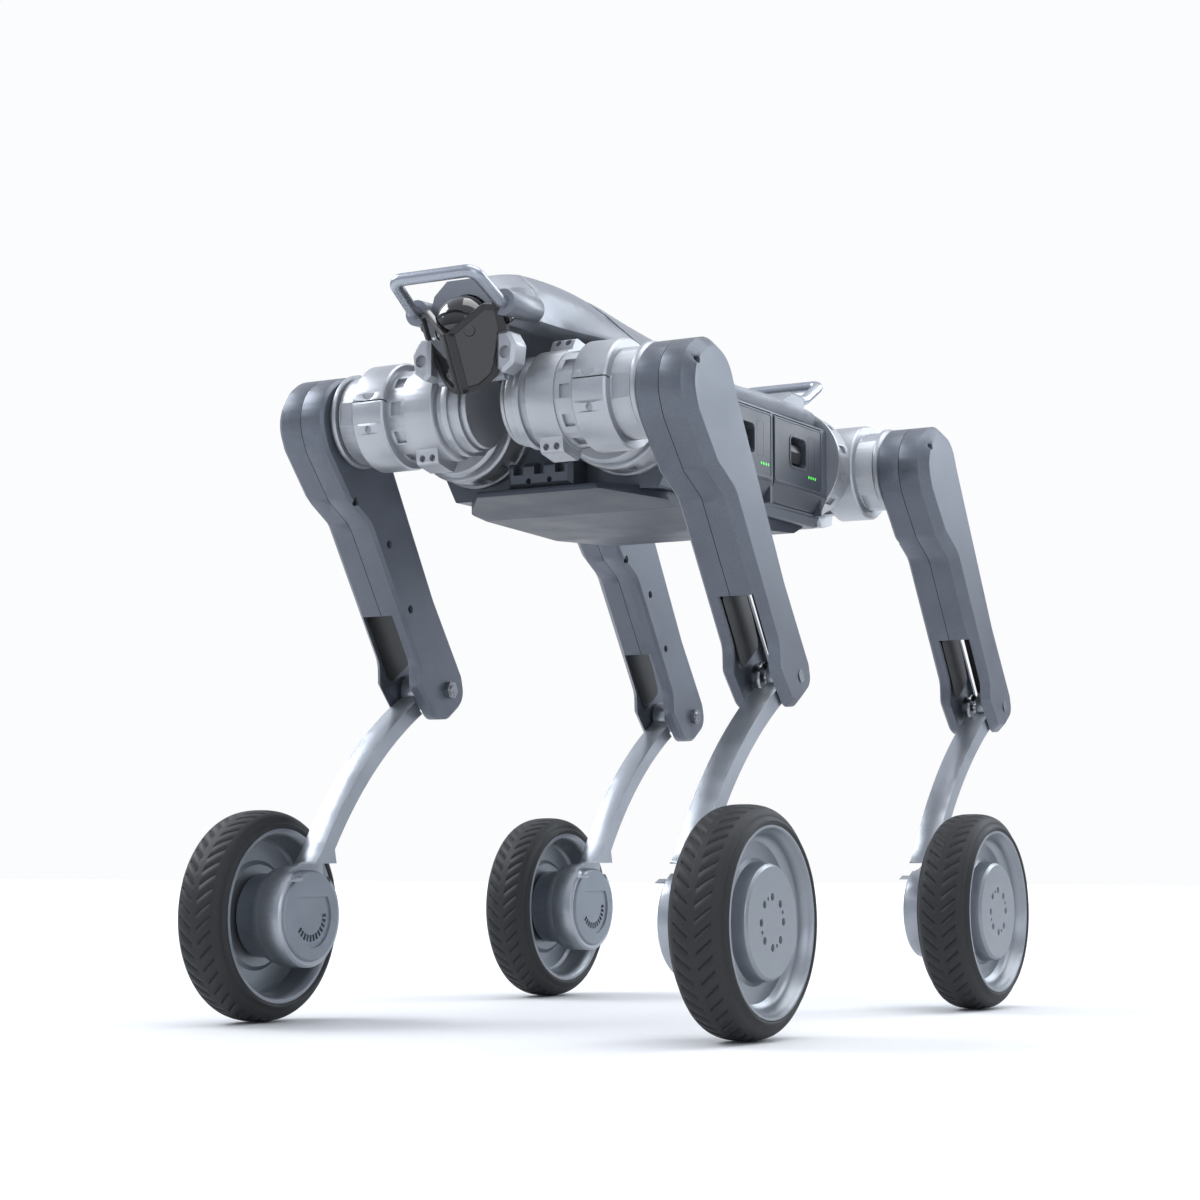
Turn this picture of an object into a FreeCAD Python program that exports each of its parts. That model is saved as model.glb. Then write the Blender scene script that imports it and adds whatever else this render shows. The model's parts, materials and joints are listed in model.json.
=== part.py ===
"""Four wheel-legged robot chassis, in millimetres.

Frame: +X forwards, +Y to the robot's left, +Z up. The origin is on the ground, under the
middle of the whole machine. Every leg is drawn once, as the front left leg about its hip
pitch axis, and then mirrored and moved to its corner.
"""
import FreeCAD
import Part
import math
import os
from FreeCAD import Vector

# --- driving dimensions -------------------------------------------------------------
TYRE_R = 95.5
TYRE_Y = (219.0, 273.0)
THIGH_LEN, THIGH_TILT = 285.0, 33.7        # hip to knee, leaning back from vertical
CALF_LEN, CALF_TILT = 278.0, 40.1          # knee to wheel, leaning forwards
HIP_FRONT_X, HIP_REAR_X = 288.5, -221.0
X0, X1 = -131.5, 198.5                     # rear and front bulkheads of the trunk
TRUNK_HALF_W = 122.0
ABAD_Y = 80.0                              # sideways swing axis of each leg
CRANK_R = 18.0                             # knee drive crank and calf lever
KNEE_MID = -12.5                           # knee angle at which crank and rod are square
RUN = 0.05                                 # radial running clearance

t1, t2 = math.radians(THIGH_TILT), math.radians(CALF_TILT)
KNEE = (-THIGH_LEN * math.sin(t1), -THIGH_LEN * math.cos(t1))
WHEEL = (KNEE[0] + CALF_LEN * math.sin(t2), KNEE[1] - CALF_LEN * math.cos(t2))
HIP_Z = TYRE_R - WHEEL[1]
KNEE_R = 25.0
KNEE_HEEL = 29.1                           # how far the knee's rear corner is behind its pin
REAR_END = HIP_REAR_X + KNEE[0] - KNEE_HEEL
HUB_HOLE_R, HUB_SMALL_R, HUB_PCD = 3.2, 1.7, 41.0

# Y stations of the leg, from the middle of the robot outwards
THIGH_IN, SEAM, THIGH_OUT = 160.0, 184.0, 214.0
CAVITY = (168.0, 206.0)
FORK_GAP = (172.0, 206.0)
ROD_Y, CRANK_Y = (181.0, 187.0), (188.0, 194.0)
CALF_Y = (180.0, 204.0)
PIN_R, LINK_PIN_R = 5.0, 3.0
HUB_R, CUP_R = 46.0, 41.0
CUP_Y = (189.0, 213.0)
SPIGOT_R = 20.0
FLANGE_GAP = 0.4                           # between a swing motor and the hip flange it turns


# --- drawing helpers ---------------------------------------------------------------------
def place(plane, u, v, w):
    """A point from plane coordinates: 'y' draws in X-Z at height y, 'x' in Y-Z, 'z' in X-Y."""
    return {"y": Vector(u, w, v), "x": Vector(w, u, v), "z": Vector(u, v, w)}[plane]


def outline(points, plane, w):
    """A closed wire through (u, v, corner radius) points."""
    n, edges, ends = len(points), [], []
    for i, (u, v, r) in enumerate(points):
        p = Vector(u, v, 0)
        a = Vector(*points[i - 1][:2], 0) - p
        b = Vector(*points[(i + 1) % n][:2], 0) - p
        a.normalize(), b.normalize()
        half = a.getAngle(b) / 2
        if r <= 0 or half > math.radians(89.5):
            ends.append((p, None, p))
            continue
        cut = r / math.tan(half)
        mid = (a + b).normalize()
        centre = p + mid * (r / math.sin(half))
        ends.append((p + a * cut, centre - mid * r, p + b * cut))
    for i, (start, mid, end) in enumerate(ends):
        if mid is not None:
            arc = [place(plane, q.x, q.y, w) for q in (start, mid, end)]
            edges.append(Part.Arc(*arc).toShape())
        after = ends[(i + 1) % n][0]
        if (after - end).Length > 1e-6:
            edges.append(Part.makeLine(place(plane, end.x, end.y, w),
                                       place(plane, after.x, after.y, w)))
    return Part.Wire(edges)


def prism(points, plane, lo, hi):
    """Extrudes an outline from lo to hi along the plane's normal."""
    along = place(plane, 0, 0, hi - lo)
    return Part.Face(outline(points, plane, lo)).extrude(along)


def edges_at(shape, plane, w):
    """The edges that lie wholly at one height along the plane's normal."""
    pick = {"x": ("XMin", "XMax"), "y": ("YMin", "YMax"), "z": ("ZMin", "ZMax")}[plane]
    return [e for e in shape.Edges
            if all(abs(getattr(e.BoundBox, k) - w) < 1e-4 for k in pick)]


def bevel(shape, plane, w, size):
    """Chamfers the rim of a prism at one end, or leaves it square if the rim is too tight."""
    try:
        return shape.makeChamfer(size, edges_at(shape, plane, w))
    except Part.OCCError:
        print("square rim left at", plane, w)
        return shape


def rod(axis, u, v, r, lo, hi):
    """A cylinder along an axis: u and v are its other two coordinates, in X, Y, Z order."""
    at = {"x": Vector(lo, u, v), "y": Vector(u, lo, v), "z": Vector(u, v, lo)}[axis]
    to = {"x": Vector(1, 0, 0), "y": Vector(0, 1, 0), "z": Vector(0, 0, 1)}[axis]
    return Part.makeCylinder(r, hi - lo, at, to)


def box(x, y, z):
    return Part.makeBox(x[1] - x[0], y[1] - y[0], z[1] - z[0], Vector(x[0], y[0], z[0]))


def turned(profile, x, z):
    """Turns a closed (y, radius) profile about the Y line through x, z."""
    pts = [Vector(x, y, z + r) for y, r in profile]
    face = Part.Face(Part.makePolygon(pts + [pts[0]]))
    return face.revolve(Vector(x, 0, z), Vector(0, 1, 0), 360)


def fuse(*shapes):
    return shapes[0].multiFuse(list(shapes[1:])).removeSplitter()


def spread(shape, count, x, z, first=0.0, step=None):
    """Copies of a shape turned about the Y line through x, z."""
    step = 360.0 / count if step is None else step
    copies = []
    for i in range(count):
        c = shape.copy()
        c.rotate(Vector(x, 0, z), Vector(0, 1, 0), first + i * step)
        copies.append(c)
    return copies


def along_thigh(s, n):
    """A point s down the hip to knee line and n to its front side."""
    down, front = (-math.sin(t1), -math.cos(t1)), (math.cos(t1), -math.sin(t1))
    return (s * down[0] + n * front[0], s * down[1] + n * front[1])


# --- hip: the sideways output flange and the thigh actuator ----------------------------------
FLANGE_X = (-56.5, -44.0)                  # from the hip pitch axis, next to the trunk motor


def hip_housing():
    body = turned([(18, 0), (18, 34.5), (19, 35.5), (22, 35.5), (22, 34), (24, 34), (24, 37.5),
                   (34, 38), (34, 41), (40, 41), (40, 37.5), (46, 37.5), (48, 43),
                   (49, 44), (77, 44), (77, 42), (97, 42), (97, 40), (150, 40), (150, 37),
                   (152, 37), (152, 43), (156, 43), (159.7, 40), (159.7, SPIGOT_R),
                   (178, SPIGOT_R), (179, SPIGOT_R - 1), (179, 0)], 0, 0)
    for angle in (78, -102):                                  # paired screw lugs
        lug = prism([(-19, 36, 0), (19, 36, 0), (13, 53, 5), (-13, 53, 5)], "y", 53, 76)
        for y in (59, 69.5):
            for lo, hi in ((9, 20), (-20, -9)):
                lug = lug.cut(rod("x", y, 48.2, 3.0, lo, hi))
        lug.rotate(Vector(0, 0, 0), Vector(0, 1, 0), angle - 90)
        body = body.fuse(lug)
    for i in range(10):                                       # castellated stator windows
        notch = box((-6, 6), (82, 92), (38.5, 60))
        notch.rotate(Vector(0, 0, 0), Vector(0, 1, 0), 18 + 36 * i)
        body = body.cut(notch)
    for i in range(3):                                        # flats on the output neck
        flat = box((-20, 20), (133, 149), (38.6, 50))
        flat.rotate(Vector(0, 0, 0), Vector(0, 1, 0), 90 + 120 * i)
        body = body.cut(flat)
    yoke = bevel(rod("x", ABAD_Y, 0, 50, *FLANGE_X), "x", FLANGE_X[1], 3)
    yoke = yoke.cut(rod("y", 0, 0, 49.0, 96.9, 131.2))
    saddle = box((FLANGE_X[1] - 1, -20), (50, 97), (-34, 34))
    shaft = rod("x", ABAD_Y, 0, SPIGOT_R, FLANGE_X[0] - 14, FLANGE_X[0] + 1)
    return fuse(body, yoke, saddle, shaft)


def hip_clamp():
    ring = turned([(97, 40), (97, 47), (98.5, 48.6), (129, 48.6), (131, 47), (131, 40)], 0, 0)
    slit = box((30, 60), (96, 132), (-0.6, 0.6))
    slit.rotate(Vector(0, 0, 0), Vector(0, 1, 0), -10)
    window = rod("x", 113, 16, 6.5, 46, 60)
    screw = rod("x", 114, -17, 3.2, 44, 60)
    return ring.cut(slit).cut(window).cut(screw)


# --- thigh ---------------------------------------------------------------------------------
def thigh_profile(inset=0.0):
    """The thigh's side view, round the hip, down the front, round the knee and up the rear."""
    i, end = inset, THIGH_LEN + KNEE_R
    down = [(-44 + i, -44 + i, 43.8 - i), (-44 + i, 45 - i, 40 - i), (2, 53 - i, 30),
            (56, 46 - i, 22), (90, 29 - i, 24), (238, 29 - i, 20), (256, 40 - i, 12),
            (end - 12, 33 - i, 16), (end - i, 12, 20), (end - i, -22 + i, 20 - i),
            (end - 24, -30 + i, 16), (200, -27 + i, 40), (137, -30 + i, 40), (17, -36 + i, 40)]
    return [(*along_thigh(s, n), r) for s, n, r in down]


def opening():
    """The knee opening, which lets the calf fold up between the fork lugs."""
    down = [(186, 70), (186, -12), (226, -40), (330, -40), (330, 70)]
    return [(*along_thigh(s, n), 0) for s, n in down]


def thigh_half(outside, cavity_y, gap_y, rim):
    """One thigh shell from the seam to its outside face, hollow and open at the knee."""
    solid = bevel(prism(thigh_profile(), "y", *sorted((SEAM, outside))), "y", outside, rim)
    solid = solid.cut(prism(thigh_profile(4.0), "y", *cavity_y))
    solid = solid.cut(prism(opening(), "y", *gap_y))
    return solid


def screw_holes(solid, places, y0, y1, r):
    for s, n in places:
        solid = solid.cut(rod("y", *along_thigh(s, n), r, y0, y1))
    return solid


def thigh_inner():
    half = thigh_half(THIGH_IN, (CAVITY[0], SEAM + 1), (FORK_GAP[0], SEAM + 1), 3)
    hub = rod("y", 0, 0, 36, THIGH_IN, CAVITY[0] + 8)
    half = fuse(half, hub).cut(rod("y", 0, 0, SPIGOT_R + RUN, THIGH_IN - 1, SEAM))
    half = screw_holes(half, ((62, 38), (120, 12), (188, 14)), THIGH_IN - 1, THIGH_IN + 4, 4)
    return half.cut(rod("y", *KNEE, PIN_R, THIGH_IN - 1, SEAM))


def thigh_outer():
    half = thigh_half(THIGH_OUT, (SEAM - 1, CAVITY[1]), (SEAM - 1, FORK_GAP[1]), 9)
    post = rod("y", 0, 0, 6, CRANK_Y[0] - 0.5, CAVITY[1] + 1)
    half = fuse(half, post)
    half = half.cut(rod("y", *along_thigh(-33, 22), 3.2, THIGH_OUT - 7, THIGH_OUT + 1))
    return half.cut(rod("y", *KNEE, PIN_R, SEAM, THIGH_OUT + 1))


def knee_pin():
    bolt = rod("y", *KNEE, PIN_R, 153, THIGH_OUT - 0.5)
    corners = [math.radians(a) for a in range(0, 360, 60)]
    nut = prism([(KNEE[0] + 9 * math.cos(a), KNEE[1] + 9 * math.sin(a), 0) for a in corners],
                "y", 154.5, THIGH_IN)
    spacer = rod("y", *KNEE, 14, FORK_GAP[0], ROD_Y[0] - 0.8)
    return fuse(bolt, nut, spacer)


# --- knee drive: a parallelogram of crank, rod and calf lever ---------------------------------
# The crank points square behind the thigh when the knee stands at KNEE_MID.
BACK = math.pi - t1 + math.radians(KNEE_MID)
CRANK_PIN = (CRANK_R * math.cos(BACK), CRANK_R * math.sin(BACK))
CALF_PIN = (KNEE[0] + CRANK_PIN[0], KNEE[1] + CRANK_PIN[1])


def capsule(a, b, r, lo, hi):
    """A bar with round ends from a to b in the X-Z plane."""
    length = math.hypot(b[0] - a[0], b[1] - a[1])
    side = (-(b[1] - a[1]) * r / length, (b[0] - a[0]) * r / length)
    corners = [(a[0] + side[0], a[1] + side[1], 0), (b[0] + side[0], b[1] + side[1], 0),
               (b[0] - side[0], b[1] - side[1], 0), (a[0] - side[0], a[1] - side[1], 0)]
    return fuse(prism(corners, "y", lo, hi), rod("y", *a, r, lo, hi), rod("y", *b, r, lo, hi))


def knee_crank():
    arm = fuse(rod("y", 0, 0, 11, *CRANK_Y), capsule((0, 0), CRANK_PIN, 6, *CRANK_Y))
    pin = rod("y", *CRANK_PIN, LINK_PIN_R, ROD_Y[0] + 0.2, CRANK_Y[1])
    return fuse(arm, pin).cut(rod("y", 0, 0, 6 + RUN, 180, 200))


def knee_rod():
    bar = fuse(capsule(CRANK_PIN, CALF_PIN, 3.5, *ROD_Y),
               rod("y", *CRANK_PIN, 5.8, *ROD_Y), rod("y", *CALF_PIN, 5.8, *ROD_Y))
    for at in (CRANK_PIN, CALF_PIN):
        bar = bar.cut(rod("y", *at, LINK_PIN_R + RUN, 170, 200))
    return bar


# --- calf and wheel motor -----------------------------------------------------------------------
def calf():
    """The curved calf beam, its knee eye and lever, and the ring that clamps the wheel motor."""
    k, w = KNEE, WHEEL

    def at(from_point, x, z):
        return place("y", from_point[0] + x, from_point[1] + z, CALF_Y[0])
    top_front, top_rear = at(k, 12, -4), at(k, 2, -16)
    neck_front, neck_rear = at(w, -11, 67.6), at(w, -24, 59.6)
    ring_front, ring_rear = at(w, 33, 31), at(w, -30, 33)
    edge = [Part.Arc(top_front, at(k, 104, -70), neck_front).toShape(),
            Part.Arc(neck_front, at(w, 4, 48.5), ring_front).toShape(),
            Part.makeLine(ring_front, ring_rear), Part.makeLine(ring_rear, neck_rear),
            Part.Arc(neck_rear, at(k, 108, -95), top_rear).toShape(),
            Part.makeLine(top_rear, top_front)]
    beam = Part.Face(Part.Wire(edge)).extrude(Vector(0, CALF_Y[1] - CALF_Y[0], 0))
    eye = rod("y", *k, 17, CRANK_Y[0], CALF_Y[1] - 0.6)
    lever = capsule(k, CALF_PIN, 6, CRANK_Y[0], CRANK_Y[1])
    pin = rod("y", *CALF_PIN, LINK_PIN_R, ROD_Y[0] + 0.2, CRANK_Y[1])
    cup = bevel(rod("y", *w, HUB_R, *CUP_Y), "y", CUP_Y[0], 2)
    body = fuse(beam.cut(rod("y", *k, 27, 170, CRANK_Y[0])), eye, lever, pin, cup)
    body = body.cut(rod("y", *k, PIN_R + RUN, 170, 214)).cut(rod("y", *w, CUP_R, 170, 214))
    return body.cut(box((w[0] - 30, w[0] + 24), (170, 196), (w[1] + 26, w[1] + 47)))


def wheel_motor():
    w = WHEEL
    case = turned([(187, 0), (187, 39), (188.5, CUP_R), (213, CUP_R), (213, 43), (222, 43),
                   (222, 38), (243, 38), (244, 37), (244, 12), (246, 12), (246, 8), (261, 8),
                   (261, 0)], *w)
    recess = rod("y", *w, 29, 186, 188.6).common(box((w[0] - 30, w[0] + 22), (186, 190), (w[1] - 30, w[1] + 17)))
    vent = box((w[0] - 1.5, w[0] + 1.5), (186, 191), (w[1] + 17, w[1] + 23))
    case = case.cut(recess)
    for c in spread(vent, 12, *w, 128, 13):
        case = case.cut(c)
    lug = box((w[0] - 47, w[0] - 36), (222, 236), (w[1] - 4, w[1] + 18)).common(rod("y", *w, 47, 222, 236))
    return fuse(case, lug)


# --- wheel ------------------------------------------------------------------------------------------
def rim():
    w = WHEEL
    barrel = turned([(220.5, 78.5), (220.5, 75.5), (224, 72.5), (229, 70.5), (247, 70.5),
                     (250, 68), (250, 50), (247.5, 46), (247.5, 8 + RUN), (262, 8 + RUN),
                     (262, 0), (271.4, 0), (271.4, 45), (269, 47.4), (257, 49), (254.5, 52),
                     (254.5, 66), (258, 70.5), (264, 72.5), (269, 75.5), (272, 76.5),
                     (272, 78.5), (269, 80), (266, 77), (226, 77), (223.5, 80)], *w)
    for count, first, r in ((8, 0, HUB_HOLE_R), (4, 22.5, HUB_SMALL_R)):
        hole = rod("y", w[0] + HUB_PCD / 2, w[1], r, 264, 273)
        for c in spread(hole, count, *w, first):
            barrel = barrel.cut(c)
    return barrel


def tyre():
    x, z = WHEEL
    lo, hi = TYRE_Y

    def at(y, r):
        return Vector(x, y, z + r)
    edges = [Part.makeLine(at(226, 77), at(266, 77)), Part.makeLine(at(266, 77), at(269, 80)),
             Part.makeLine(at(269, 80), at(271.5, 80)),
             Part.Arc(at(271.5, 80), at(hi, 84), at(270.5, 89)).toShape(),
             Part.Arc(at(270.5, 89), at((lo + hi) / 2, TYRE_R), at(221.5, 89)).toShape(),
             Part.Arc(at(221.5, 89), at(lo, 84), at(220.5, 80)).toShape(),
             Part.makeLine(at(220.5, 80), at(223.5, 80)), Part.makeLine(at(223.5, 80), at(226, 77))]
    return Part.Face(Part.Wire(edges)).revolve(Vector(x, 0, z), Vector(0, 1, 0), 360)


# --- trunk --------------------------------------------------------------------------------------------
BAY_Z = (490.0, 575.0)
BAY_BACK_Y = 24.0
FACE_Y = 123.0                             # outer face of the batteries
BAYS = {"rear": (X0 + 13.5, -8.0), "front": (-3.0, X1 - 92)}
GRIP_X = 55.5                              # middle of the grip, from its pack's rear edge
LATCH_PIVOT = (FACE_Y - 8, 551.0)
COVER_Z = 578.0                            # underside of the top cover


def section(inset=0.0):
    """The trunk's section in Y-Z, with bevelled lower corners."""
    i = inset
    left = [(TRUNK_HALF_W - i, COVER_Z - i), (TRUNK_HALF_W - i, 507 + i / 2),
            (TRUNK_HALF_W - 14 - i, 478 + i)]
    return [(y, z, 3) for y, z in left] + [(-y, z, 3) for y, z in left[::-1]]


def chassis_frame():
    shell = prism(section(), "x", X0, X1).cut(prism(section(4), "x", X0 + 5, X1 - 5))
    for lo, hi in BAYS.values():
        shell = shell.cut(box((lo, hi), (BAY_BACK_Y, 140), BAY_Z))
    shelf = box((X0 + 3, X1 - 3), (BAY_BACK_Y - 4, BAY_BACK_Y), (481, COVER_Z - 3))
    floor = box((X0 + 3, X1 - 3), (BAY_BACK_Y - 1, TRUNK_HALF_W - 9), (BAY_Z[0] - 3, BAY_Z[0]))
    frame = fuse(shell, shelf, floor)
    for lo, hi in BAYS.values():
        for x in (lo - 3, hi):
            frame = fuse(frame, box((x, x + 3), (BAY_BACK_Y - 1, TRUNK_HALF_W - 1),
                                    (BAY_Z[0] - 2, COVER_Z - 3)))
    for x in (X0 - 1, X1 - 6):
        for sy in (-1, 1):
            frame = frame.cut(rod("x", sy * ABAD_Y, HIP_Z, 26, x, x + 7))
    return frame


def abad_motors():
    """The four sideways swing motors, bolted to the trunk's end bulkheads."""
    motors = []
    for sx in (-1, 1):
        base = X1 if sx > 0 else -X0
        axis = HIP_FRONT_X if sx > 0 else -HIP_REAR_X
        depth = axis + FLANGE_X[0] - FLANGE_GAP - base
        for sy in (-1, 1):
            can = bevel(rod("x", 0, 0, 54, 0, depth), "x", depth, 2)
            for i in range(12):
                fin = box((8, depth - 9), (-4, 4), (51, 56))
                fin.rotate(Vector(0, 0, 0), Vector(1, 0, 0), 15 + 30 * i)
                can = can.cut(fin)
            can = fuse(can, rod("x", 0, 0, 56, 0, 6), rod("x", 0, 0, 26, -5, 0))
            can = can.cut(rod("x", 0, 0, SPIGOT_R + RUN, depth - 16, depth + 1))
            can.translate(Vector(base, sy * ABAD_Y, HIP_Z))
            motors.append(can if sx > 0 else can.mirror(Vector(0, 0, 0), Vector(1, 0, 0)))
    return Part.makeCompound(motors)


def battery(name):
    lo, hi = BAYS[name][0] + 0.6, BAYS[name][1] - 0.6
    z0, z1, back_y = BAY_Z[0] + 0.6, BAY_Z[1] - 0.6, BAY_BACK_Y + 0.6
    pack = prism([(back_y, z0, 3), (FACE_Y - 9, z0, 3), (FACE_Y, 508, 5), (FACE_Y, z1, 2),
                  (back_y, z1, 3)], "x", lo, hi)
    x = lo + GRIP_X
    grip = prism([(x - 17, 530, 5), (x + 17, 530, 5), (x + 17, 558, 6), (x - 17, 558, 6)],
                 "y", FACE_Y - 26, FACE_Y + 1)
    bores = rod("x", *LATCH_PIVOT, 2.4 + RUN, x - 20, x + 20)
    return pack.cut(grip).cut(bores)


def latch(name):
    x = BAYS[name][0] + 0.6 + GRIP_X
    y, z = LATCH_PIVOT
    paddle = prism([(y - 2, z + 2, 0), (y + 2, z + 2, 1), (y + 5, z - 6, 2), (y + 3, z - 17, 1),
                    (y, z - 17, 1), (y + 1, z - 7, 2), (y - 2, z - 2, 0)], "x", x - 15, x + 15)
    return fuse(paddle, rod("x", y, z, 2.4, x - 19.8, x + 19.8))


def ring(x, points):
    """A symmetrical closed section at x from (half width, height) points, base first."""
    whole = points + [(-y, z) for y, z in points[::-1]]
    return Part.makePolygon([Vector(x, y, z) for y, z in whole + [whole[0]]])


def cover_rings(t=0.0):
    """Cover sections as x and (base, side crease, shoulder, spine) points, inset by t."""
    spec = [(X0 + t, 110, 588, 70, 598, 34, 600), (-100, 121, 590, 84, 606, 40, 609),
            (20, 121, 590, 82, 607, 40, 612), (80, 119, 591, 76, 615, 38, 627),
            (140, 114, 594, 66, 628, 36, 645), (X1 - t, 95, 604, 56, 638, 34, 654)]
    return [(x, [(w1 - 3 - t, COVER_Z - t * 0.3), (w1 - t, z1 - t), (w2 - t, z2 - t),
                 (w3 - t, z3 - t)]) for x, w1, z1, w2, z2, w3, z3 in spec]


def top_cover():
    body = Part.makeLoft([ring(x, p) for x, p in cover_rings()], True, False)
    inside = Part.makeLoft([ring(x, p) for x, p in cover_rings(3.0)], True, False)
    neck = [(X1 - 4, [(80, 604.5), (93, 607), (54, 638), (34, 653.5)]),
            (250, [(46, 606), (58, 613), (46, 643), (30, 659)]),
            (306, [(38, 606), (50, 614), (42, 644), (27, 658)])]
    beak = Part.makeLoft([ring(x, p) for x, p in neck], True, False)
    tail = prism([(-232, 635, 5), (-232, 609, 3), (-150, 606, 8), (X0 + 6, 598, 0),
                  (X0 + 26, 604, 0), (-165, 620, 20), (-200, 635, 12)], "y", -52, 52)
    shell = body.cut(inside)
    for x in (34, 76, 118, 160):
        shell = shell.cut(box((x, x + 12), (-1.2, 1.2), (600, 670)))
    return fuse(shell, beak, bevel(tail, "y", 52, 3)).cut(rear_handle())


def tube(path, r, bend):
    """A round tube along an open path with rounded corners."""
    edges, start = [], path[0]
    for before, p, after in zip(path, path[1:], path[2:]):
        a, b = (before - p).normalize(), (after - p).normalize()
        half = a.getAngle(b) / 2
        cut = bend / math.tan(half)
        mid = p + (a + b).normalize() * (bend / math.sin(half) - bend)
        edges += [Part.makeLine(start, p + a * cut), Part.Arc(p + a * cut, mid, p + b * cut).toShape()]
        start = p + b * cut
    edges.append(Part.makeLine(start, path[-1]))
    ring_face = Part.Wire(Part.makeCircle(r, path[0], path[1] - path[0]))
    return Part.Wire(edges).makePipeShell([ring_face], True, True)


HANDLE_R = 5.6
DOME_R, DOME_X, DOME_Z = 26.0, 352.0, 607.0  # ranging sensor in the head
GUARD_TILT = 28.0                            # the shield leans forwards at the top


def front_handle(r=HANDLE_R):
    end = -REAR_END - HANDLE_R
    legs = [Vector(340, 44.5, 622), Vector(366, 44.5, 621), Vector(end, 41, 641)]
    path = legs + [Vector(p.x, -p.y, p.z) for p in legs[::-1]]
    return tube(path, r, 10)


def rear_handle():
    legs = [Vector(-226, 44, 628), Vector(-246, 45, 634), Vector(-286, 45, 656)]
    path = legs + [Vector(p.x, -p.y, p.z) for p in legs[::-1]]
    return tube(path, HANDLE_R, 10)


def head_housing():
    """The hood over the ranging sensor, its chin and the two handle sockets."""
    hood = Part.makeLoft([ring(x, p) for x, p in (
        (306.2, [(38, 606), (50, 614), (42, 644), (27, 658)]),
        (330, [(37, 606), (44, 614), (38, 641), (23, 654)]),
        (352, [(36, 606), (38, 614), (32, 636), (19, 648)]))], True, False)
    chin = prism([(336.2, 610, 0), (352, 610, 0), (345, 586, 20), (342, 560, 4), (336.2, 557, 2)],
                 "y", -34, 34)
    parts = [hood, chin]
    for sy in (-1, 1):
        root, tip = Vector(311, sy * 44.5, 623.5), Vector(361, sy * 44.5, 621.2)
        parts.append(Part.makeCylinder(11.5, (tip - root).Length, root, tip - root))
    bay = rod("x", 0, DOME_Z, DOME_R + 1.5, 338, 353)
    return fuse(*parts).cut(bay).cut(front_handle())


def head_lamps():
    lamps = []
    for sy in (-1, 1):
        block = prism([(sy * 34.2, 566, 0), (sy * 40, 561, 3), (sy * 51, 569, 4),
                       (sy * 53, 586, 5), (sy * 46, 598, 4), (sy * 34.2, 598, 0)],
                      "x", 336.2, 356)
        block = bevel(block, "x", 356, 3)
        lamps.append(block.cut(rod("x", sy * 43, 579, 5.6, 350, 357)))
    return Part.makeCompound(lamps)


def sensor_dome():
    """The ranging sensor: a dark drum with a domed front."""
    ball = Part.makeSphere(DOME_R, Vector(DOME_X, 0, DOME_Z))
    return fuse(ball.common(box((DOME_X, 390), (-30, 30), (DOME_Z - 30, DOME_Z + 30))),
                rod("x", 0, DOME_Z, DOME_R, 338, DOME_X))


def sensor_guard():
    """A five-sided shield with a middle ridge, swept back to two screw ears, drawn upright."""
    left = [(15, -55, 3), (27, -47, 10), (38, -24, 14), (41, -6, 8), (41, 12, 3), (29, 17, 4)]
    front = left + [(0, 0, 2)] + [(-y, z, r) for y, z, r in left[::-1]]
    wedge = [(0, -44), (0, 44), (4, 44), (39, 0), (4, -44)]
    core = [(-1, -40), (-1, 40), (0, 40), (34, 0), (0, -40)]
    shield = prism(front, "x", 0, 39)
    shield = shield.common(prism([(x, y, 0) for x, y in wedge], "z", -60, 40))
    shield = shield.cut(prism([(x, y, 0) for x, y in core], "z", -60, 40))
    ears = [rod("x", sy * 41, -1, 5.5, -6, 4) for sy in (-1, 1)]
    shield = fuse(shield, *ears)
    shield.rotate(Vector(0, 0, 0), Vector(0, 1, 0), GUARD_TILT)
    shield.translate(Vector(348.6, 0, 612))
    room = fuse(Part.makeSphere(DOME_R + 0.8, Vector(DOME_X, 0, DOME_Z)),
                rod("x", 0, DOME_Z, DOME_R + 0.8, 330, DOME_X))
    for other in (room, head_housing(), head_lamps(), front_handle(HANDLE_R + 0.3)):
        shield = shield.cut(other)
    return max(shield.Solids, key=lambda solid: solid.Volume)


def skid_brackets():
    """Castellated towing brackets under both ends of the trunk."""
    out = []
    for sx in (-1, 1):
        base = X1 if sx > 0 else -X0
        block = box((base, base + 29), (-34, 34), (482, 505))
        block = bevel(block, "x", base + 29, 4)
        for y in (-22, 0, 22):
            block = block.cut(box((base + 19, base + 30), (y - 5, y + 5), (494, 506)))
        for y in (-11, 11):
            block = block.cut(rod("x", y, 488, 2.6, base + 14, base + 30))
        out.append(block if sx > 0 else block.mirror(Vector(0, 0, 0), Vector(1, 0, 0)))
    return Part.makeCompound(out)


def belly_pan():
    side = [(X0 + 18, 477.6, 0), (X0 + 40, 469, 10), (20, 462, 40), (150, 466, 30),
            (X1 + 34, 476, 3), (X1 + 34, 481, 1), (X1 + 0.4, 481, 0), (X1 + 0.4, 477.6, 0)]
    plan = [(X0 + 10, -104, 0), (X1 - 20, -104, 20), (X1 + 40, -58, 8), (X1 + 40, 58, 8),
            (X1 - 20, 104, 20), (X0 + 10, 104, 0)]
    return prism(side, "y", -110, 110).common(prism(plan, "z", 450, 490))


def main_computer():
    board = box((X0 + 30, X1 - 40), (-105, -5), (500, 530))
    feet = [rod("z", x, y, 5, 482, 500) for x in (X0 + 45, X1 - 55) for y in (-90, -20)]
    return fuse(board, *feet)


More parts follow.
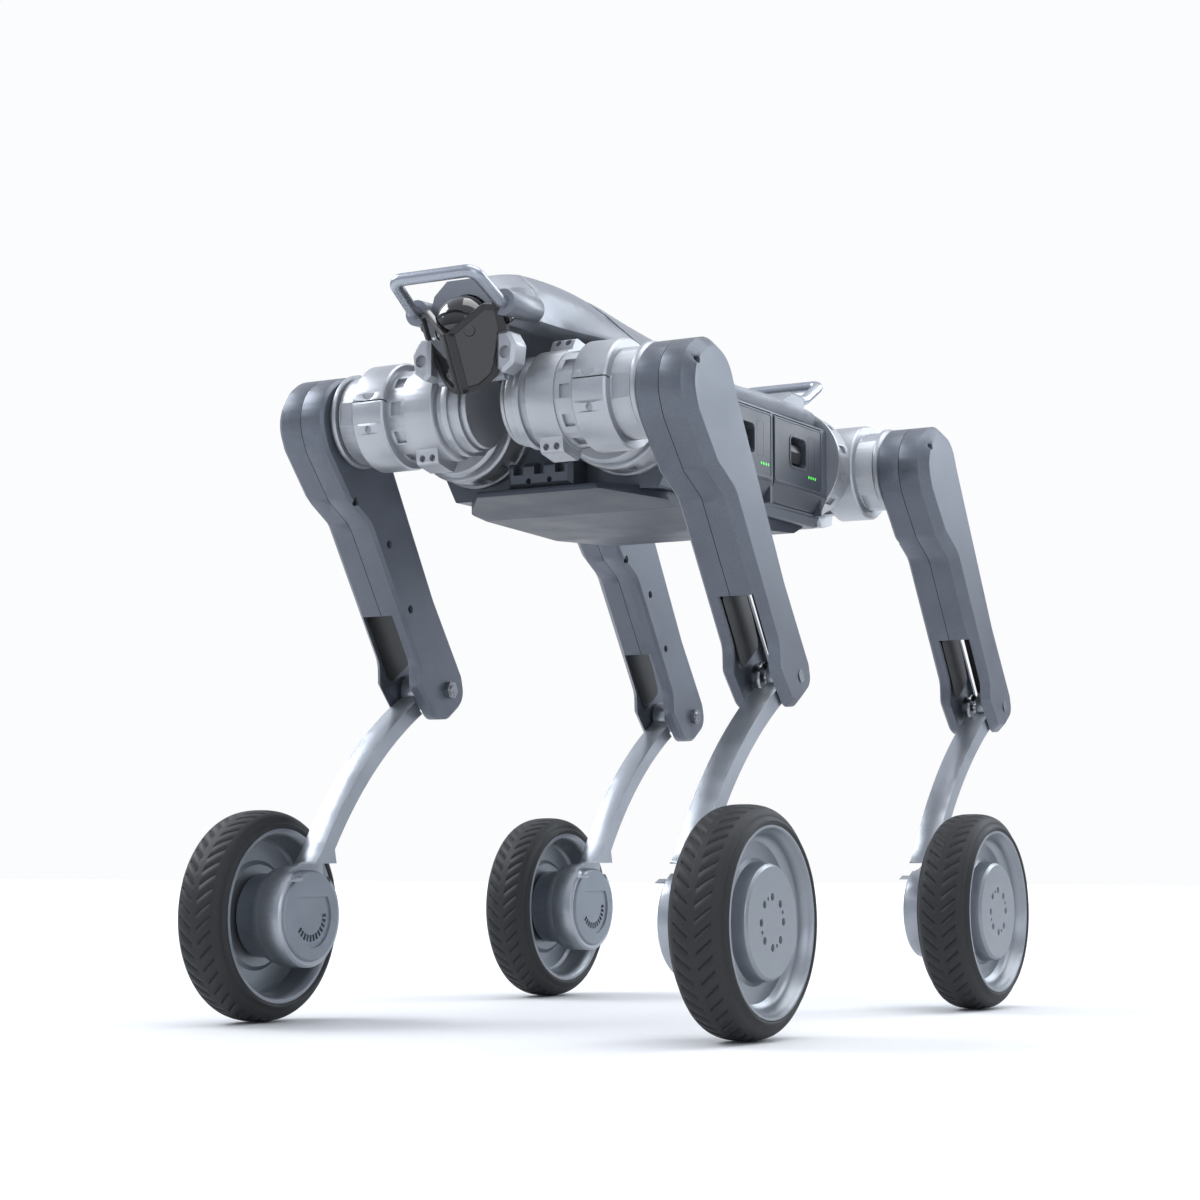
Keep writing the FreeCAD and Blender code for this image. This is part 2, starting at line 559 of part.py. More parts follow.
LEG = {"hip_housing": hip_housing, "hip_clamp": hip_clamp, "thigh_inner": thigh_inner,
       "thigh_outer": thigh_outer, "knee_pin": knee_pin, "knee_crank": knee_crank,
       "knee_rod": knee_rod, "calf": calf, "wheel_motor": wheel_motor, "rim": rim, "tyre": tyre}
TRUNK = {"chassis_frame": chassis_frame, "abad_motors": abad_motors, "top_cover": top_cover,
         "head_housing": head_housing, "head_lamps": head_lamps, "sensor_dome": sensor_dome,
         "sensor_guard": sensor_guard,
         "front_handle": front_handle, "rear_handle": rear_handle, "skid_brackets": skid_brackets,
         "belly_pan": belly_pan, "main_computer": main_computer,
         "battery_front": lambda: battery("front"), "battery_rear": lambda: battery("rear"),
         "latch_front": lambda: latch("front"), "latch_rear": lambda: latch("rear")}


def legs():
    """Every leg part at its corner: mirrored sideways on the right, fore and aft at the rear hip."""
    nodes = {}
    for part, make in LEG.items():
        left = make()
        for end, x in (("f", HIP_FRONT_X), ("r", HIP_REAR_X)):
            for side in ("l", "r"):
                shape = left.copy()
                if end == "r" and part in ("hip_housing", "hip_clamp"):
                    shape = shape.mirror(Vector(0, 0, 0), Vector(1, 0, 0))
                if side == "r":
                    shape = shape.mirror(Vector(0, 0, 0), Vector(0, 1, 0))
                shape.translate(Vector(x, 0, HIP_Z))
                nodes[f"{end}{side}_{part}"] = shape
    return nodes


def main():
    os.makedirs("parts", exist_ok=True)
    nodes = {name: make() for name, make in TRUNK.items()}
    nodes.update(legs())
    for name, shape in nodes.items():
        if not shape.isValid() or not shape.Solids:
            print("faulty", name)
        shape.exportStep(f"parts/{name}.step")


main()
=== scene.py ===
"""Looks of the four wheel-legged robot chassis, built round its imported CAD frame, in metres."""
import json
import math

import bmesh
import bpy
from mathutils import Matrix, Vector


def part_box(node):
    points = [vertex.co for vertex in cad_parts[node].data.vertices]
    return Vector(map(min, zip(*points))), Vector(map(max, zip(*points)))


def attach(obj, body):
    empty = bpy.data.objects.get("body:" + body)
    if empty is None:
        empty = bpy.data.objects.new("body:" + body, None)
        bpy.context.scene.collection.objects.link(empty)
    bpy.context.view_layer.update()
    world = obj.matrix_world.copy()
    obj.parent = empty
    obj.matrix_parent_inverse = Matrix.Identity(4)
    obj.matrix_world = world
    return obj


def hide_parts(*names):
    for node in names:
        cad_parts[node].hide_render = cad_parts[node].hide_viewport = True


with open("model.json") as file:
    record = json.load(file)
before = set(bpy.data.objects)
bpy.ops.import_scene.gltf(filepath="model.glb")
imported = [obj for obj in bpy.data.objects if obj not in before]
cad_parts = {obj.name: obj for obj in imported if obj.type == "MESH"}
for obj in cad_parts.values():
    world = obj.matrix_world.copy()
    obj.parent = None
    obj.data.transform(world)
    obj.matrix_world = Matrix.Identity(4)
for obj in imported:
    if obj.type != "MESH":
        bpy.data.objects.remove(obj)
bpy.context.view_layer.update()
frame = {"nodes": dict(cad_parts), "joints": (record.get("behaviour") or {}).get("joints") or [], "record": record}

MM = 0.001
LEGS = ("fl", "fr", "rl", "rr")
JOINTS = {j["name"]: j for j in frame["joints"]}


# --- where things are, from the frame ---------------------------------------------------
def middle(node):
    lo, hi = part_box(node)
    return (lo + hi) / 2


def side_of(leg):
    """+1 on the robot's left, -1 on its right."""
    return 1 if leg[1] == "l" else -1


def joint_at(name):
    return Vector(JOINTS[name]["pos_m"])


TYRE_LO, TYRE_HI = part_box("fl_tyre")
TYRE_R = (TYRE_HI.z - TYRE_LO.z) / 2
TYRE_HALF_W = (TYRE_HI.y - TYRE_LO.y) / 2
THIGH_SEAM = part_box("fl_thigh_inner")[1].y
SEAM_HALF_WIDTH = 0.35 * MM
GAP_COLOR = (0.006, 0.006, 0.008, 1.0)


# --- materials --------------------------------------------------------------------------
class Nodes:
    """A material's node tree, with short calls to add and join nodes."""

    def __init__(self, name):
        self.mat = bpy.data.materials.new(name)
        self.mat.use_nodes = True
        self.tree = self.mat.node_tree
        self.shader = self.tree.nodes["Principled BSDF"]
        self.where = self.add("ShaderNodeTexCoord").outputs["Object"]

    def add(self, kind, **values):
        node = self.tree.nodes.new(kind)
        for key, value in values.items():
            if hasattr(node, key):
                setattr(node, key, value)
            else:
                node.inputs[key.replace("_", " ")].default_value = value
        return node

    def join(self, out, into):
        self.tree.links.new(out, into)

    def noise(self, scale, detail=3.0, rough=0.5):
        node = self.add("ShaderNodeTexNoise", Scale=scale, Detail=detail, Roughness=rough)
        self.join(self.where, node.inputs["Vector"])
        return node.outputs["Fac"]

    def ramp(self, fac, stops):
        node = self.add("ShaderNodeValToRGB")
        el = node.color_ramp.elements
        while len(el) < len(stops):
            el.new(0.5)
        for e, (at, color) in zip(el, stops):
            e.position = at
            e.color = (*color, 1.0)
        self.join(fac, node.inputs["Fac"])
        return node.outputs["Color"]

    def spread(self, fac, lo, hi):
        node = self.add("ShaderNodeMapRange")
        node.inputs["To Min"].default_value = lo
        node.inputs["To Max"].default_value = hi
        node.inputs["From Min"].default_value = 0.3
        node.inputs["From Max"].default_value = 0.7
        self.join(fac, node.inputs["Value"])
        return node.outputs["Result"]

    def seams(self, color, lines):
        """Dark panel gaps where a coordinate's size reaches one of the given places."""
        parts = self.add("ShaderNodeSeparateXYZ")
        self.join(self.where, parts.inputs[0])
        for axis, at in lines:
            size = self.add("ShaderNodeMath", operation="ABSOLUTE")
            self.join(parts.outputs[axis], size.inputs[0])
            near = self.add("ShaderNodeMath", operation="COMPARE")
            self.join(size.outputs[0], near.inputs[0])
            near.inputs[1].default_value = at
            near.inputs[2].default_value = SEAM_HALF_WIDTH
            mix = self.add("ShaderNodeMix", data_type="RGBA")
            self.join(near.outputs[0], mix.inputs["Factor"])
            self.join(color, mix.inputs[6])
            mix.inputs[7].default_value = GAP_COLOR
            color = mix.outputs[2]
        return color

    def bump(self, height, strength, distance):
        node = self.add("ShaderNodeBump", Strength=strength, Distance=distance)
        self.join(height, node.inputs["Height"])
        return node.outputs["Normal"]


def shade(color, k):
    return tuple(min(1.0, c * k) for c in color)


def metal(name, color, rough, metallic=0.85, grain=2600.0, speckle=0.10, bump=0.12, lines=()):
    """Blasted or anodised metal: fine grain, a faint cloudiness and uneven polish."""
    n = Nodes(name)
    fine = n.noise(grain, 2.0, 0.6)
    cloud = n.noise(22.0, 4.0, 0.6)
    blend = n.add("ShaderNodeMix", data_type="FLOAT")
    n.join(fine, blend.inputs["A"])
    n.join(cloud, blend.inputs["B"])
    blend.inputs["Factor"].default_value = 0.35
    tint = n.ramp(blend.outputs["Result"],
                  [(0.35, shade(color, 1 - speckle)), (0.52, color), (0.68, shade(color, 1 + speckle))])
    n.join(n.seams(tint, lines), n.shader.inputs["Base Color"])
    n.shader.inputs["Metallic"].default_value = metallic
    n.join(n.spread(cloud, rough - 0.05, rough + 0.06), n.shader.inputs["Roughness"])
    n.join(n.bump(fine, bump, 0.0002), n.shader.inputs["Normal"])
    return n.mat


def moulded(name, color, rough, grain=1500.0, bump=0.25, coat=0.0, level=0.5):
    """Moulded plastic or rubber: an eroded texture with slightly uneven gloss and colour."""
    n = Nodes(name)
    fine = n.noise(grain, 3.0, 0.65)
    cloud = n.noise(30.0, 3.0, 0.55)
    tint = n.ramp(cloud, [(0.3, shade(color, 0.86)), (0.5, color), (0.7, shade(color, 1.18))])
    n.join(tint, n.shader.inputs["Base Color"])
    n.join(n.spread(cloud, rough - 0.05, rough + 0.05), n.shader.inputs["Roughness"])
    n.join(n.bump(fine, bump, 0.00025), n.shader.inputs["Normal"])
    n.shader.inputs["Coat Weight"].default_value = coat
    n.shader.inputs["Specular IOR Level"].default_value = level
    return n.mat


def glowing(name, color, strength):
    """A small light under a cloudy lens."""
    n = Nodes(name)
    cloud = n.noise(900.0, 2.0)
    tint = n.ramp(cloud, [(0.3, shade(color, 0.7)), (0.7, color)])
    n.join(tint, n.shader.inputs["Base Color"])
    n.join(tint, n.shader.inputs["Emission Color"])
    n.shader.inputs["Emission Strength"].default_value = strength
    n.shader.inputs["Roughness"].default_value = 0.3
    return n.mat


def make_materials():
    seam = [("Y", THIGH_SEAM)]
    return {
        "cast_silver": metal("cast_silver", (0.40, 0.415, 0.44), 0.40, 0.78, 2200, 0.12, 0.16),
        "thigh_grey": metal("thigh_grey", (0.122, 0.136, 0.162), 0.42, 0.62, 1500, 0.26, 0.18, seam),
        "calf_silver": metal("calf_silver", (0.37, 0.395, 0.43), 0.34, 0.82, 2600, 0.08, 0.08),
        "motor_grey": metal("motor_grey", (0.235, 0.26, 0.295), 0.42, 0.65, 2200, 0.14, 0.12),
        "rim_grey": metal("rim_grey", (0.26, 0.28, 0.305), 0.36, 0.78, 2200, 0.12, 0.10),
        "steel": metal("steel", (0.38, 0.39, 0.41), 0.25, 1.0, 1800, 0.08, 0.08),
        "dark_steel": metal("dark_steel", (0.03, 0.032, 0.036), 0.35, 0.7, 1800, 0.2, 0.1),
        "tyre": moulded("tyre_rubber", (0.018, 0.019, 0.021), 0.60, 900, 0.30, 0.0, 0.35),
        "frame_grey": metal("frame_grey", (0.105, 0.117, 0.138), 0.42, 0.62, 2000, 0.16, 0.14),
        "cover_grey": metal("cover_paint", (0.215, 0.23, 0.257), 0.38, 0.5, 2200, 0.12, 0.12),
        "black_gloss": moulded("black_gloss", (0.004, 0.004, 0.005), 0.08, 400, 0.02, 0.6),
        "black_matt": moulded("black_matt", (0.012, 0.012, 0.013), 0.36, 1500, 0.12, 0.0, 0.45),
        "handle_satin": metal("handle_satin", (0.33, 0.355, 0.40), 0.30, 0.85, 2600, 0.08, 0.06),
        "belly_dark": metal("belly_dark", (0.038, 0.045, 0.061), 0.46, 0.5, 2000, 0.16, 0.14),
        "board_case": metal("board_case", (0.2, 0.2, 0.21), 0.4, 0.7, 1800, 0.1, 0.1),
        "battery_case": moulded("battery_case", (0.038, 0.045, 0.058), 0.40, 1900, 0.22, 0.0, 0.5),
        "led": glowing("led_green", (0.10, 0.80, 0.08), 1.1),
    }


MATS = make_materials()
SLOT_OF = {s["node"]: s["material_slot"] for s in frame["record"]["subparts"]}


def dress(obj, mat):
    obj.data.materials.clear()
    obj.data.materials.append(MATS[mat])


def dress_cad():
    """Materials and eased edges on the CAD nodes that are shown as they are."""
    for node, obj in frame["nodes"].items():
        dress(obj, "black_gloss" if node == "sensor_guard" else SLOT_OF[node])
        weld = obj.modifiers.new("weld", "WELD")
        weld.merge_threshold = 0.00001
        bevel = obj.modifiers.new("ease", "BEVEL")
        bevel.width = 0.5 * MM
        bevel.segments = 2
        bevel.limit_method = "ANGLE"
        bevel.angle_limit = math.radians(35)
        bevel.use_clamp_overlap = True
        bevel.harden_normals = True


# --- mesh helpers -------------------------------------------------------------------------
def mesh_object(name, verts, faces, smooth=True):
    mesh = bpy.data.meshes.new(name)
    mesh.from_pydata([tuple(v) for v in verts], [], faces)
    mesh.validate()
    for p in mesh.polygons:
        p.use_smooth = smooth
    obj = bpy.data.objects.new(name, mesh)
    bpy.context.scene.collection.objects.link(obj)
    return obj


def finish_piece(obj, body, mat, stands_for=()):
    dress(obj, mat)
    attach(obj, body)
    if stands_for:
        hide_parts(*stands_for)
    return obj


# --- tyre with its V tread ------------------------------------------------------------------
PITCHES = 46
SLOT_WIDTH = 1.6 * MM
SLOT_DEPTH = 1.5 * MM
SLOT_START, SLOT_END = 3.5 * MM, 16.5 * MM     # from the middle of the tread outwards
SLOT_LIP = 0.35 * MM                            # how far each slot edge is eased
SLANT = 0.85                                    # how far a slot runs round per sideways step
SLANT_END = SLOT_END + 4 * MM                   # where the slant stops, outside the slots
CROWN_POINTS, CROWN_SHARE = 22, 0.86            # of the tyre's rounded part and half width


def tyre_profile():
    """Half the tyre's section, from mid tread to the bead, as (sideways, radius) points."""
    w, r = TYRE_HALF_W, TYRE_R
    points = []
    for i in range(CROWN_POINTS):
        a = math.radians(90 * i / (CROWN_POINTS - 1))
        sideways = w * CROWN_SHARE * math.sin(a) ** 0.95
        drop = 10.5 * MM * (1 - math.cos(a)) ** 1.25
        points.append((sideways, r - drop))
    points += [(w * 0.97, r - 12.5 * MM), (w, r - 13.6 * MM), (w * 0.985, r - 15.2 * MM),
               (w * 0.93, r - 16.6 * MM), (w * 0.90, r - 18.4 * MM)]
    return points


def tyre(leg):
    centre = joint_at(leg + "_wheel_spin")
    centre.y = middle(leg + "_tyre").y
    half = tyre_profile()
    slot_ends = [SLOT_START - 0.4 * MM, SLOT_START + 0.4 * MM, SLOT_END - 0.5 * MM,
                 SLOT_END + 0.5 * MM]
    rows = sorted(set([y for y, _ in half] + slot_ends))

    def radius(y):
        for (y0, r0), (y1, r1) in zip(half, half[1:]):
            if y0 <= y <= y1 and y1 > y0:
                return r0 + (r1 - r0) * (y - y0) / (y1 - y0)
        return half[-1][1]
    crown = [(y, radius(y)) for y in rows if y <= TYRE_HALF_W * CROWN_SHARE]
    section = crown + half[CROWN_POINTS:]
    full = [(-y, r) for y, r in section[::-1]] + section[1:]
    pitch = 2 * math.pi / PITCHES
    edge = SLOT_WIDTH / TYRE_R / 2
    lip = SLOT_LIP / TYRE_R
    columns = [-edge - lip, -edge + lip, edge - lip, edge + lip, pitch / 2]
    verts, faces = [], []
    for k in range(PITCHES):
        for c, offset in enumerate(columns):
            for y, r in full:
                inside = SLOT_START < abs(y) < SLOT_END and c in (1, 2)
                angle = k * pitch + offset + SLANT * min(abs(y), SLANT_END) / TYRE_R
                depth = SLOT_DEPTH if inside else 0.0
                verts.append(centre + Vector((math.cos(angle) * (r - depth), y,
                                              math.sin(angle) * (r - depth))))
    m, total = len(full), PITCHES * len(columns)
    for i in range(total):
        j = (i + 1) % total
        for s in range(m - 1):
            faces.append((i * m + s, i * m + s + 1, j * m + s + 1, j * m + s))
        faces.append((i * m + m - 1, i * m, j * m, j * m + m - 1))
    obj = mesh_object(leg + "_tyre_tread", verts, faces)
    return finish_piece(obj, leg + "_wheel", "tyre", [leg + "_tyre"])


# --- plates with rounded outlines -----------------------------------------------------------
ARC_STEPS = 5
FLAT_HALF_ANGLE = 1.54                          # corners flatter than this stay sharp


def rounded(points):
    """The (u, v) points of a closed outline given as (u, v, corner radius)."""
    out = []
    for i, (u, v, r) in enumerate(points):
        p = Vector((u, v))
        a = (Vector(points[i - 1][:2]) - p).normalized()
        b = (Vector(points[(i + 1) % len(points)][:2]) - p).normalized()
        half = a.angle(b) / 2
        if r <= 0 or half > FLAT_HALF_ANGLE:
            out.append((u, v))
            continue
        centre = p + (a + b).normalized() * (r / math.sin(half))
        start, end = p + a * (r / math.tan(half)) - centre, p + b * (r / math.tan(half)) - centre
        for k in range(ARC_STEPS + 1):
            w = k / ARC_STEPS
            q = (start * (1 - w) + end * w).normalized() * r + centre
            out.append((q.x, q.y))
    return out


def inset(ring, d):
    """Each point of a closed outline moved inwards by d."""
    n = len(ring)
    area = sum(ring[i][0] * ring[(i + 1) % n][1] - ring[(i + 1) % n][0] * ring[i][1] for i in range(n))
    turn = 1 if area > 0 else -1
    moved = []
    for i in range(n):
        a, p, b = (Vector(ring[(i + k) % n]) for k in (-1, 0, 1))
        d1, d2 = (p - a).normalized(), (b - p).normalized()
        normal = Vector((-(d1.y + d2.y), d1.x + d2.x)).normalized() * turn
        moved.append(tuple(p + normal * d))
    return moved


def closed_solid(name, layers, ends=True, smooth=False):
    """A solid through rings of points that all have the same count. Without ends, it is a tube
    whose last ring joins its first."""
    n = len(layers[0])
    verts = [v for layer in layers for v in layer]
    faces = []
    joins = len(layers) - 1 if ends else len(layers)
    for k in range(joins):
        a, b = k * n, ((k + 1) % len(layers)) * n
        faces += [(a + i, a + (i + 1) % n, b + (i + 1) % n, b + i) for i in range(n)]
    if ends:
        faces += [tuple(range(n))[::-1], tuple(range(len(verts) - n, len(verts)))]
    obj = mesh_object(name, verts, faces, smooth)
    bm = bmesh.new()
    bm.from_mesh(obj.data)
    bmesh.ops.recalc_face_normals(bm, faces=bm.faces)
    bm.to_mesh(obj.data)
    bm.free()
    return obj


def plate(name, outline, lift, thick, ease=0.3 * MM):
    """A plate with an eased face. lift(u, v, d) puts a point of it at height d."""
    ring = rounded(outline)
    layers = [(ring, 0.0), (ring, thick - ease), (inset(ring, ease), thick)]
    return closed_solid(name, [[lift(u, v, d) for u, v in r] for r, d in layers])


def frame_band(name, outline, lift, width, thick, bottom=0.0):
    """A raised band of that width along the inside of an outline."""
    outer = rounded(outline)
    inner = inset(outer, width)
    ease = min(0.35 * thick, 0.4 * MM)
    layers = [(outer, bottom), (outer, thick - ease), (inset(outer, ease), thick),
              (inset(outer, width - ease), thick), (inner, thick - ease), (inner, bottom)]
    return closed_solid(name, [[lift(u, v, d) for u, v in r] for r, d in layers], ends=False)


def rectangle(u, v, w, h, r):
    return [(u - w / 2, v - h / 2, r), (u + w / 2, v - h / 2, r), (u + w / 2, v + h / 2, r),
            (u - w / 2, v + h / 2, r)]


SCREW_SIDES = 24


def screw(name, at, out, r, body, mat="dark_steel"):
    """A socket head screw whose head stands out along a direction."""
    out = out.normalized()
    side = out.orthogonal().normalized()
    other = out.cross(side)
    profile = [(r, -0.2), (r, 0.55), (r * 0.93, 0.75), (r * 0.55, 0.75), (r * 0.5, 0.6),
               (r * 0.5, -0.6)]
    layers = []
    for radius, height in profile:
        turns = [2 * math.pi * k / SCREW_SIDES for k in range(SCREW_SIDES)]
        layers.append([at + out * height * MM + (side * math.cos(a) + other * math.sin(a)) * radius
                       for a in turns])
    return finish_piece(closed_solid(name, layers), body, mat)


# --- batteries --------------------------------------------------------------------------------
LED_COUNT, LED_STEP, LED_UP = 4, 5.0, 32.4
LED_STARTS = (("front", 7.5), ("rear", 15.5))
LED_SHAPE = (1.7, 2.8, 0.7)                    # width, height and corner radius, in mm
PANEL = (24.5, 56, 15, 34, 2)                  # middle, size and corner radius, in mm from the
GRIP_RIM = (55.5, 53.4, 39, 33, 7)             # rear lower corner of the battery's outer face
BORDER_UP, BORDER_HEIGHT, BORDER_R = 51, 63, 4
FACE_SINK = 0.1 * MM                           # trim starts this far inside the face


def battery_details():
    """Charge lights, a panel outline and a raised border on each battery's outer face."""
    for name, led_start in LED_STARTS:
        lo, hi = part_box("battery_" + name)
        body, face = "pack_" + name, hi.y

        def lift(u, v, d):
            return Vector((u, face + d - FACE_SINK, v))

        def patch(u, v, w, h, r):
            return rectangle(lo.x + u * MM, lo.z + v * MM, w * MM, h * MM, r * MM)
        for i in range(LED_COUNT):
            spot = patch(led_start + LED_STEP * i, LED_UP, *LED_SHAPE)
            finish_piece(plate(f"led_{name}_{i + 1}", spot, lift, 0.45 * MM, 0.15 * MM), body,
                         "led")
        panel = frame_band(f"panel_line_{name}", patch(*PANEL), lift, 0.55 * MM, 0.2 * MM)
        finish_piece(panel, body, "black_matt")
        pocket = frame_band(f"grip_rim_{name}", patch(*GRIP_RIM), lift, 2.2 * MM, 0.9 * MM)
        finish_piece(pocket, body, "battery_case")
        border = rectangle((lo.x + hi.x) / 2, lo.z + BORDER_UP * MM, hi.x - lo.x - 1 * MM,
                           BORDER_HEIGHT * MM, BORDER_R * MM)
        finish_piece(frame_band(f"border_{name}", border, lift, 1.3 * MM, 0.7 * MM), body,
                     "frame_grey")


# --- sensor shield ------------------------------------------------------------------------------
GUARD_AT = Vector((348.6, 0.0, 612.0)) * MM
GUARD_TILT = math.radians(28.0)
GUARD_RIDGE, GUARD_SWEEP = 39.0 * MM, 35.0 / 44.0     # the ridge ahead of the ears, and its slope
EAR_FACE, EAR_WAY, EAR_SCREW_R = (4, 41, -1), Vector((1, 0, -0.53)), 2.6 * MM
GUARD_HALF = [(0.8, 0, 1), (0.8, -55, 1), (15, -55, 3), (27, -47, 10), (38, -24, 14), (41, -6, 8),
              (41, 12, 3), (29, 17, 4)]


def guard_lift(sign):
    """Places (sideways, up) points of the upright shield on its swept and tilted face."""
    turn = Matrix.Rotation(GUARD_TILT, 3, "Y")
    normal = Vector((1.0, sign * GUARD_SWEEP, 0.0)).normalized()

    def lift(u, v, d):
        base = Vector((GUARD_RIDGE - u * GUARD_SWEEP, sign * u, v))
        return GUARD_AT + turn @ (base + normal * d)
    return lift


def guard_rims():
    for sign, name in ((1, "left"), (-1, "right")):
        half = [(u * MM, v * MM, r * MM) for u, v, r in GUARD_HALF]
        rim = frame_band("guard_rim_" + name, half, guard_lift(sign), 5.0 * MM, 2.0 * MM, -1.0 * MM)
        finish_piece(rim, "trunk", "black_matt")
        ear = Vector((EAR_FACE[0], sign * EAR_FACE[1], EAR_FACE[2])) * MM
        at = GUARD_AT + Matrix.Rotation(GUARD_TILT, 3, "Y") @ ear
        screw("guard_screw_" + name, at, EAR_WAY, EAR_SCREW_R, "trunk", "black_matt")


# --- legs ----------------------------------------------------------------------------------------
def thigh_frame(leg):
    """The hip, and the unit directions down the thigh and to its front, in the row frame."""
    hip, knee = joint_at(leg + "_pitch"), joint_at(leg + "_knee")
    down = Vector((knee.x - hip.x, 0, knee.z - hip.z))
    down.normalize()
    return hip, down, Vector((-down.z, 0, down.x))


def thigh_point(leg, s, n, y):
    hip, down, front = thigh_frame(leg)
    at = hip + down * s * MM + front * n * MM
    at.y = side_of(leg) * y * MM
    return at


# In mm: distances down the thigh and to its front, and Y stations out from mid trunk.
THIGH_OUTER_FACE, FORK_INNER, FORK_OUTER, STOP_AT = 214, 172, 206, 184
HEAD_SCREW, HEAD_SCREW_R = (-33, 22, 207.4), 2.9 * MM
SIDE_SCREWS, SIDE_SCREW_Y, SIDE_SCREW_R = ((62, 38), (120, 12), (188, 14)), 163.6, 3.5 * MM
KNEE_DISC = [(279, -5.5, 4), (291, -5.5, 4), (291, 3.5, 4), (279, 3.5, 4)]
LINER = [(190, -20, 3), (230, -21, 3), (262, -17, 8), (262, 24, 8), (232, 23, 3), (190, 23, 3)]
FOLD_STOP = [(-2, 170, 2), (23, 170, 2), (23, 204, 2), (-2, 204, 2)]


def thigh_details(leg):
    """Screws, the knee's cover disc and the black liners inside its knee opening."""
    body, out = leg + "_thigh", Vector((0, side_of(leg), 0))
    screw(leg + "_head_screw", thigh_point(leg, *HEAD_SCREW), out, HEAD_SCREW_R, body)
    for i, (s, n) in enumerate(SIDE_SCREWS):
        at = thigh_point(leg, s, n, SIDE_SCREW_Y)
        screw(f"{leg}_side_screw_{i + 1}", at, -out, SIDE_SCREW_R, body)

    def lift_at(y, way):
        def lift(u, v, d):
            at = thigh_point(leg, u, v, y)
            at.y += side_of(leg) * way * d
            return at
        return lift
    disc = plate(leg + "_knee_disc", KNEE_DISC, lift_at(THIGH_OUTER_FACE, 1), 0.8 * MM, 0.4 * MM)
    finish_piece(disc, body, "steel")
    for name, y, way in (("_liner_in", FORK_INNER, 1), ("_liner_out", FORK_OUTER, -1)):
        liner = plate(leg + name, LINER, lift_at(y, way), 0.7 * MM, 0.2 * MM)
        finish_piece(liner, body, "black_matt")

    def stop_lift(u, v, d):
        return thigh_point(leg, STOP_AT + d / MM, u, v)
    stop = plate(leg + "_fold_stop", FOLD_STOP, stop_lift, 1.8 * MM)
    finish_piece(stop, body, "black_matt")


# --- studio -------------------------------------------------------------------------------------
CAMERA_AT = Vector((2.1446, 1.1582, 0.1456))
CAMERA_LOOK = Vector((-0.86381, -0.49306, 0.10358))
CAMERA_LENS = 74.905
FLOOR_SIZE, FLOOR_THICK, FLOOR_DROP = 24.0, 0.01, 0.0105
GLOW_START, GLOW_END = 1.2, 5.0             # where the painted glow that brightens the floor towards its edge starts and ends
BACKDROP = (0.97, 0.975, 0.985, 1.0)
LAMPS_AIM = (0, 0, 0.4)
LAMPS = (("key", (0.6, -2.6, 2.4), (2.0, 1.4), 75, (0.94, 0.97, 1.0)),
         ("top", (-0.3, 0.6, 3.0), (2.2, 2.2), 45, (1.0, 1.0, 1.0)),
         ("fill", (2.4, 2.2, 1.2), (1.6, 1.6), 14, (0.92, 0.95, 1.0)),
         ("rim", (-2.4, 1.4, 1.8), (1.2, 2.0), 40, (0.9, 0.95, 1.0)))


def camera():
    data = bpy.data.cameras.new("camera")
    data.lens = CAMERA_LENS
    data.sensor_width = 36.0
    cam = bpy.data.objects.new("camera", data)
    cam.location = CAMERA_AT
    cam.rotation_mode = "QUATERNION"
    cam.rotation_quaternion = CAMERA_LOOK.to_track_quat("-Z", "Y")
    bpy.context.scene.collection.objects.link(cam)
    bpy.context.scene.camera = cam


def area_light(name, at, look, size, power, color):
    data = bpy.data.lights.new(name, "AREA")
    data.shape = "RECTANGLE"
    data.size, data.size_y = size
    data.energy = power
    data.color = color
    lamp = bpy.data.objects.new(name, data)
    lamp.location = at
    lamp.rotation_mode = "QUATERNION"
    lamp.rotation_quaternion = (Vector(look) - Vector(at)).to_track_quat("-Z", "Y")
    bpy.context.scene.collection.objects.link(lamp)


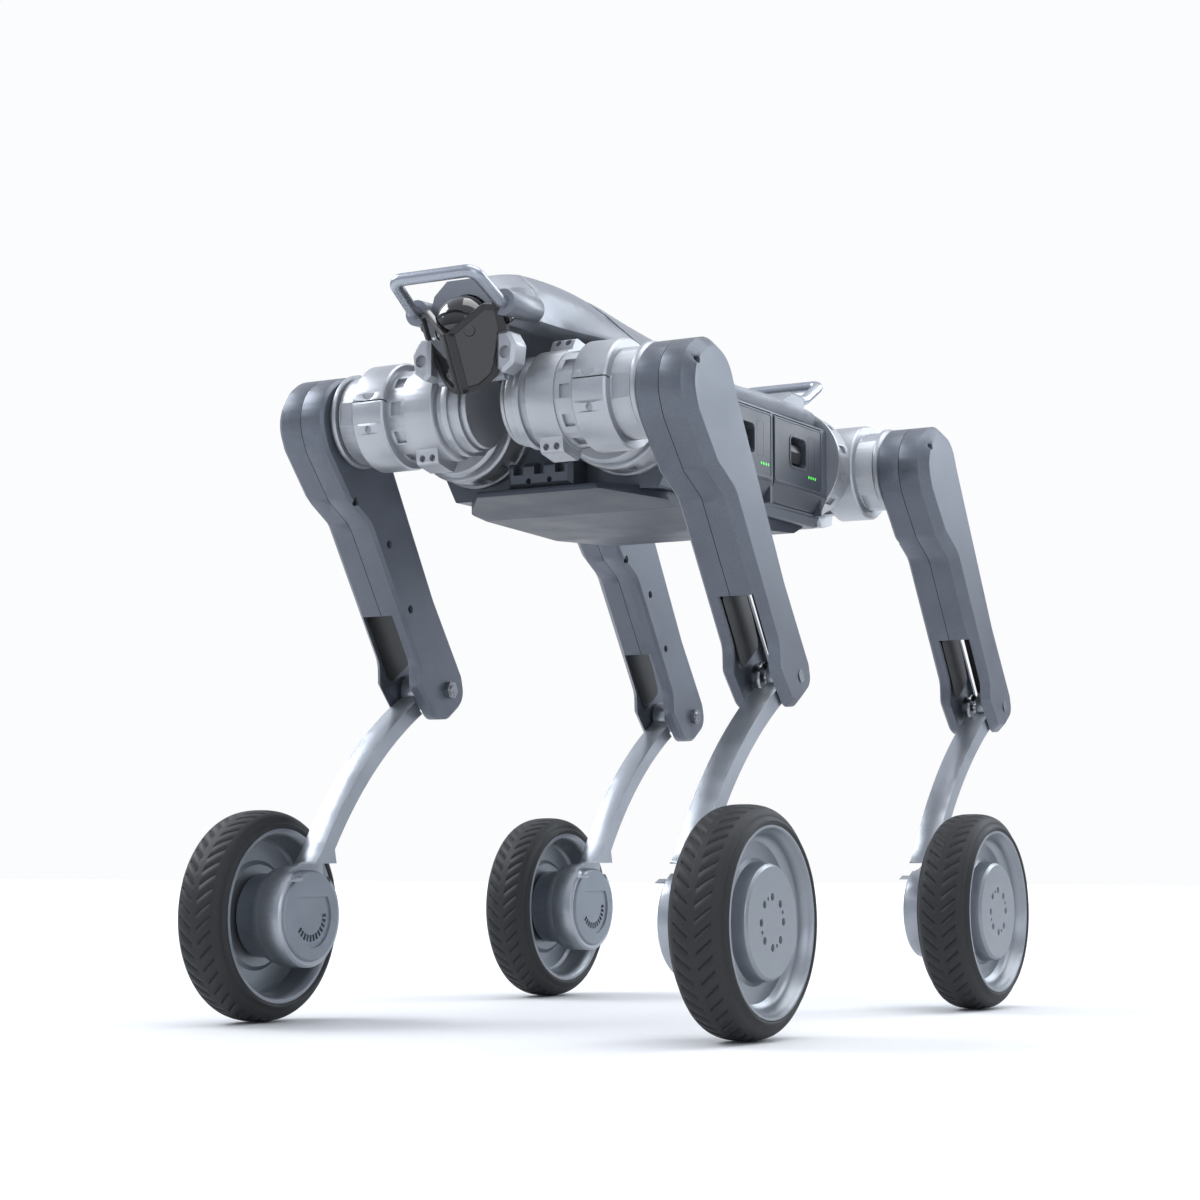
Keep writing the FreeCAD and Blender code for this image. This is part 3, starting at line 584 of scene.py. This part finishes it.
def studio():
    """A pale floor with a painted glow that brightens it into the backdrop colour towards its edge, a soft sky and
    four large lamps.
    """
    world = bpy.data.worlds.new("studio")
    bpy.context.scene.world = world
    world.use_nodes = True
    tree = world.node_tree
    back = tree.nodes["Background"]
    coord = tree.nodes.new("ShaderNodeTexCoord")
    parts = tree.nodes.new("ShaderNodeSeparateXYZ")
    ramp = tree.nodes.new("ShaderNodeValToRGB")
    ramp.color_ramp.elements[0].color = (0.10, 0.13, 0.19, 1.0)
    ramp.color_ramp.elements[1].color = (0.80, 0.84, 0.92, 1.0)
    ramp.color_ramp.elements[0].position = 0.35
    ramp.color_ramp.elements[1].position = 0.75
    lift = tree.nodes.new("ShaderNodeMath")
    lift.operation = "MULTIPLY_ADD"
    lift.inputs[1].default_value = 0.5
    lift.inputs[2].default_value = 0.5
    tree.links.new(coord.outputs["Generated"], parts.inputs[0])
    tree.links.new(parts.outputs["Z"], lift.inputs[0])
    tree.links.new(lift.outputs[0], ramp.inputs["Fac"])
    seen = tree.nodes.new("ShaderNodeLightPath")
    mix = tree.nodes.new("ShaderNodeMix")
    mix.data_type = "RGBA"
    tree.links.new(seen.outputs["Is Camera Ray"], mix.inputs["Factor"])
    tree.links.new(ramp.outputs["Color"], mix.inputs[6])
    mix.inputs[7].default_value = BACKDROP
    tree.links.new(mix.outputs[2], back.inputs["Color"])
    for name, at, size, power, color in LAMPS:
        area_light(name, at, LAMPS_AIM, size, power, color)
    floor = plate("floor", rectangle(0, 0, FLOOR_SIZE, FLOOR_SIZE, 1.0),
                  lambda u, v, d: Vector((u, v, d - FLOOR_DROP)), FLOOR_THICK)
    n = Nodes("floor_paint")
    cloud = n.noise(3.0, 4.0)
    tint = n.ramp(cloud, [(0.3, (0.74, 0.745, 0.75)), (0.7, (0.78, 0.78, 0.785))])
    n.join(tint, n.shader.inputs["Base Color"])
    n.shader.inputs["Roughness"].default_value = 0.6
    # Painted glow: the floor glows in the backdrop colour, more strongly further from the middle.
    reach = n.add("ShaderNodeVectorMath", operation="LENGTH")
    n.join(n.where, reach.inputs[0])
    edge_glow = n.add("ShaderNodeMapRange", interpolation_type="SMOOTHSTEP")
    edge_glow.inputs["From Min"].default_value = GLOW_START
    edge_glow.inputs["From Max"].default_value = GLOW_END
    edge_glow.inputs["To Max"].default_value = 0.75
    n.join(reach.outputs["Value"], edge_glow.inputs["Value"])
    n.join(edge_glow.outputs["Result"], n.shader.inputs["Emission Strength"])
    n.shader.inputs["Emission Color"].default_value = BACKDROP
    floor.data.materials.append(n.mat)
    bpy.context.scene.view_settings.view_transform = "Standard"


dress_cad()
for leg_name in LEGS:
    tyre(leg_name)
    thigh_details(leg_name)
battery_details()
guard_rims()
camera()
studio()
